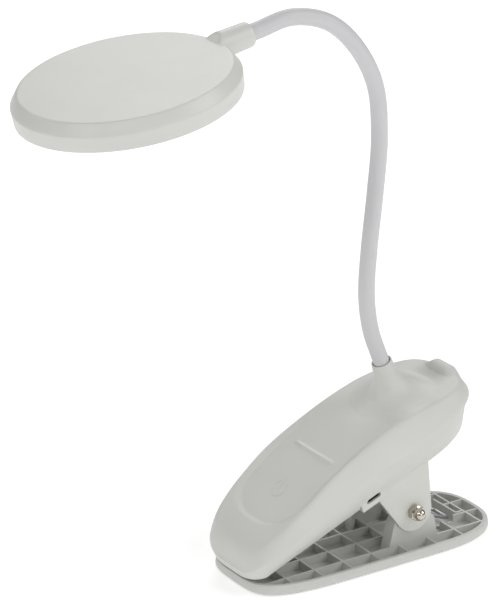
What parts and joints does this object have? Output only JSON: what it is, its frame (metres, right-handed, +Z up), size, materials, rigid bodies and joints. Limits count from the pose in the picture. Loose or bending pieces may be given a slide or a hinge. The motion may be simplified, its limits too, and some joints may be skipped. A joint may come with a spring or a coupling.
{
  "type": "clip on reading lamp",
  "caption": "Cordless reading lamp: a spring clip with a waffle-ribbed lower jaw, a battery housing as its upper jaw, a flexible neck and a flat round light head.",
  "frame": {"origin": "centre of the flat underside of the lower jaw, which the closed lamp stands on", "axes": "+Z up; -Y towards the front, where the jaws open and the head hangs; +X towards the side with the charging socket"},
  "size_m": [0.1, 0.2403, 0.2686],
  "materials": {
    "shell_plastic": "fine satin",
    "neck_sleeve": "smooth satin",
    "nickel_plate": "polished, warm tone",
    "steel": "plain",
    "battery_wrap": "shrink wrapped",
    "circuit_board": "solder mask",
    "led_board_white": "solder mask",
    "copper": "bare foil",
    "diffuser_milk": "milky, translucent",
    "red_insulation": "smooth",
    "black_insulation": "smooth"
  },
  "bodies": {
    "jaw": {"lower_jaw": "shell_plastic", "torsion_spring": "steel"},
    "housing": {"upper_shell": "shell_plastic", "lower_shell": "shell_plastic", "pivot_rod": "steel", "spring_mandrel": "shell_plastic", "acorn_nut_left": "nickel_plate", "acorn_nut_right": "nickel_plate", "battery_cell": "battery_wrap", "battery_lead_red": "red_insulation", "battery_lead_black": "black_insulation", "control_board": "circuit_board", "control_chip": "black_insulation", "charge_indicator": "diffuser_milk", "usb_socket": "steel", "touch_plate": "copper", "touch_lead": "black_insulation", "shell_screw_1": "steel", "shell_screw_2": "steel", "shell_screw_3": "steel", "shell_screw_4": "steel", "neck_locknut": "steel", "neck_root": "neck_sleeve"},
    "neck_link_1": {"neck_link_1": "neck_sleeve"},
    "neck_link_2": {"neck_link_2": "neck_sleeve"},
    "neck_link_3": {"neck_link_3": "neck_sleeve"},
    "neck_link_4": {"neck_link_4": "neck_sleeve"},
    "neck_link_5": {"neck_link_5": "neck_sleeve"},
    "neck_link_6": {"neck_link_6": "neck_sleeve"},
    "neck_link_7": {"neck_link_7": "neck_sleeve"},
    "neck_link_8": {"neck_link_8": "neck_sleeve"},
    "head": {"neck_end": "neck_sleeve", "head_shell": "shell_plastic", "led_board": "led_board_white", "reflector_ring": "diffuser_milk", "diffuser": "diffuser_milk", "head_screw_1": "steel", "head_screw_2": "steel", "head_screw_3": "steel"}
  },
  "joints": [
    {"name": "clip_hinge", "type": "hinge", "parent": "jaw", "child": "housing", "pos_m": [0, 0.018, 0.0225], "axis": [-1, 0, 0], "range_deg": [0, 30], "stiffness_Nm_per_rad": 0.6, "springref_deg": -68.75, "deforming": ["torsion_spring"]},
    {"name": "neck_bend_1", "type": "hinge", "parent": "housing", "child": "neck_link_1", "pos_m": [0, 0.01003, 0.09975], "axis": [1, 0, 0], "range_deg": [-25, 15]},
    {"name": "neck_sway_2", "type": "hinge", "parent": "neck_link_1", "child": "neck_link_2", "pos_m": [0, 0.00442, 0.12414], "axis": [0, -0.9974, -0.0727], "range_deg": [-22, 22]},
    {"name": "neck_bend_3", "type": "hinge", "parent": "neck_link_2", "child": "neck_link_3", "pos_m": [0, 0.0054, 0.14923], "axis": [1, 0, 0], "range_deg": [-25, 15]},
    {"name": "neck_sway_4", "type": "hinge", "parent": "neck_link_3", "child": "neck_link_4", "pos_m": [0, 0.00814, 0.17423], "axis": [0, 0.9954, -0.0959], "range_deg": [-22, 22]},
    {"name": "neck_bend_5", "type": "hinge", "parent": "neck_link_4", "child": "neck_link_5", "pos_m": [0, 0.01012, 0.19928], "axis": [1, 0, 0], "range_deg": [-25, 15]},
    {"name": "neck_sway_6", "type": "hinge", "parent": "neck_link_5", "child": "neck_link_6", "pos_m": [0, 0.00785, 0.22426], "axis": [0, -0.9678, -0.2516], "range_deg": [-22, 22]},
    {"name": "neck_bend_7", "type": "hinge", "parent": "neck_link_6", "child": "neck_link_7", "pos_m": [0, -0.00378, 0.24636], "axis": [1, 0, 0], "range_deg": [-25, 15]},
    {"name": "neck_sway_8", "type": "hinge", "parent": "neck_link_7", "child": "neck_link_8", "pos_m": [0, -0.02337, 0.26162], "axis": [0, 0.3551, 0.9348], "range_deg": [-22, 22]},
    {"name": "head_tilt", "type": "hinge", "parent": "neck_link_8", "child": "head", "pos_m": [0, -0.048, 0.26334], "axis": [1, 0, 0], "range_deg": [-25, 25]}
  ]
}
